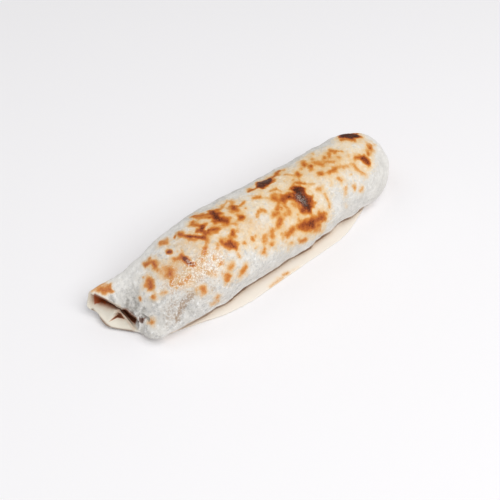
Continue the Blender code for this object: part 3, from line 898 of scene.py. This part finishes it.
# Browning with a ragged edge, and the warm glow and scorched haze round the marks
coarse = grain(3.2, 3.0, 0.6)
fine = grain(0.9, 2.0, 0.6, (0.1, 0.2, 0.3))
patches = grain(9.0, 3.0, 0.55, (0.4, 0.1, 0.0))
mottle = grain(1.7, 3.0, 0.65, (0.0, 0.3, 0.6))
browning = painted("toast")
ragged = browning.ramp(0.03, 0.4)
browning = browning + (coarse - 0.5) * 0.24 * ragged + (fine - 0.5) * 0.32 * ragged
grit = grain(0.9, 2.0, 0.8, (0.8, 0.1, 0.5))
browning = browning + (grit - 0.5) * 0.9 * browning.ramp(0.5, 0.85)
glow = painted("warmth") + (patches - 0.5) * 0.9 + (mottle - 0.5) * 1.3
scorch = painted("haze") + (grain(3.0, 4.0, 0.65, (0.7, 0.2, 0.1)) - 0.5) * 1.5 + (fine - 0.5) * 0.4
specks = grain(0.8, 2.0, 0.7, (0.9, 0.4, 0.2))
scorch = scorch + (specks - 0.5) * 1.5 * painted("oil")

# The untoasted bread: floury, damp, drawn lighter with painted light in places, chalky with white flecks
# that are partly painted glints, peppered, darkened with painted shade along its folds, and scorched
damp = grain(2.8, 4.0, 0.75, (0.3, 0.3, 0.1))
flour = blended(patches.ramp(0.35, 0.65), tone(226, 223, 217), tone(211, 208, 202))
flour = blended(glow.ramp(0.34, 0.96) * 0.74, flour, tone(241, 219, 182))
flour = blended(damp.ramp(0.5, 0.62) * painted("mottled") * 0.65, flour, tone(182, 181, 180))
# Painted light on the lower front, the tucked end, the back near the mouth and the near corner
flour = blended(painted("pale") * 0.7, flour, tone(245, 243, 239))
# White flecks: flour, partly painted highlights
flecks_and_glints = grain(2.4, 4.0, 0.7, (0.2, 0.5, 0.6)).ramp(0.5, 0.7) * (painted("mottled") * 0.5 + 0.25)
flour = blended(flecks_and_glints, flour, tone(250, 249, 247))
pepper = grain(1.2, 2.0, 0.7, (0.5, 0.5, 0.9)).ramp(0.6, 0.72)
flour = blended(pepper * painted("mottled") * 0.5, flour, tone(150, 146, 142))
# Mottled brownish painted shade along the folds
fold_shading = painted("stain") + ((mottle - 0.5) * 2.0 + (fine - 0.5) * 1.2) * painted("stain").ramp(0, 0.5)
flour = blended(fold_shading.ramp(0.1, 1.0) * 0.85, flour, tone(158, 130, 104))
flour = blended(scorch.ramp(0.15, 1.05) * 0.85, flour, tone(226, 186, 130))
# The toasted bread, from golden to nearly black, and grey ash, partly painted glint, on it
toasted = Shade.node(
    "ShaderNodeValToRGB",
    {
        "stops": [
            (0.1, tone(232, 198, 144)),
            (0.22, tone(226, 180, 114)),
            (0.35, tone(215, 149, 73)),
            (0.5, tone(201, 120, 46)),
            (0.65, tone(172, 86, 30)),
            (0.78, tone(130, 56, 20)),
            (0.9, tone(88, 38, 14)),
            (1.0, tone(50, 25, 10)),
        ]
    },
    {"Fac": browning},
)
# A bluish painted sheen over the toast near the open end
toasted = blended(painted("veil"), toasted, tone(186, 190, 204))
flour = blended(painted("loose"), flour, tone(240, 232, 221))
crust = blended(browning.ramp(0.0, 0.42), flour, toasted)
cinders = grain(1.3, 2.0, 0.8, (0.2, 0.8, 0.4))
crust = blended(painted("ash") * cinders.ramp(0.45, 0.6) * 0.8, crust, tone(172, 160, 150))
# The sheet's inner face, with painted shade that darkens it the deeper it lies in the mouth
lining = Shade.node(
    "ShaderNodeValToRGB",
    {
        "stops": [
            (0.0, tone(233, 227, 213)),
            (0.3, tone(226, 211, 192)),
            (0.6, tone(190, 152, 128)),
            (0.8, tone(150, 94, 66)),
            (1.0, tone(92, 44, 18)),
        ]
    },
    {"Fac": painted("depth") + (coarse - 0.5) * 0.2},
)
# Red-brown painted shade in the mouth's far corner
lining = blended(painted("rust") * 0.9, lining, tone(170, 78, 28))
# Painted shade in the creases and deep in the mouth, the painted shadow line under the roll, and the
# oily patch with its crackle and painted glints
shadowy = painted("grey") + (fine - 0.5) * 1.2 * painted("grey") + (mottle - 0.5) * painted("grey")
crust = blended(shadowy.ramp(0.1, 1.0) * 0.75, crust, tone(128, 123, 116))
crust = blended(painted("inner"), crust, lining)
crust = blended(painted("nook_shade") * 0.48, crust, tone(214, 184, 154))
crust = blended(painted("nook").ramp(0.1, 0.9) * 0.85, crust, tone(126, 92, 68))
# The lower lip's toasted rim, darkened further with painted shade
crust = blended(painted("rim") * 0.85, crust, tone(124, 84, 56))
crust = blended(painted("lip_shade") * 0.7, crust, tone(110, 78, 62))
# Painted shadow in the small hole beside the mouth
crust = blended(painted("hole") * 0.85, crust, tone(112, 68, 50))
crackle = (grain(2.4, 3.0, 0.6, (0.6, 0.3, 0.8)) - 0.5).math("ABSOLUTE", 0)
crust = blended((1 - crackle.ramp(0.0, 0.07)) * painted("oil") * 0.6, crust, tone(206, 146, 84))
# Painted highlights: white glints in the oily patch
painted_glints = grain(1.3, 2.0, 0.7, (0.4, 0.9, 0.2)).ramp(0.5, 0.6)
crust = blended(painted_glints * painted("oil") * 0.6, crust, tone(255, 250, 240))
Shade.tree.links.new(crust.socket, shader.inputs["Base Color"])
shader.inputs["Roughness"].default_value = 0.55
shader.inputs["Specular IOR Level"].default_value = 0.2
bumps = Shade.node(
    "ShaderNodeBump",
    {},
    {"Strength": 0.35, "Distance": 0.4 * MM, "Height": grain(1.3, 3.0, 0.6) + fine * 0.5},
)
Shade.tree.links.new(bumps.socket, shader.inputs["Normal"])
bread.data.materials.clear()
bread.data.materials.append(crumb)

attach(bread, "root")
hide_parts("flatbread_wrap")
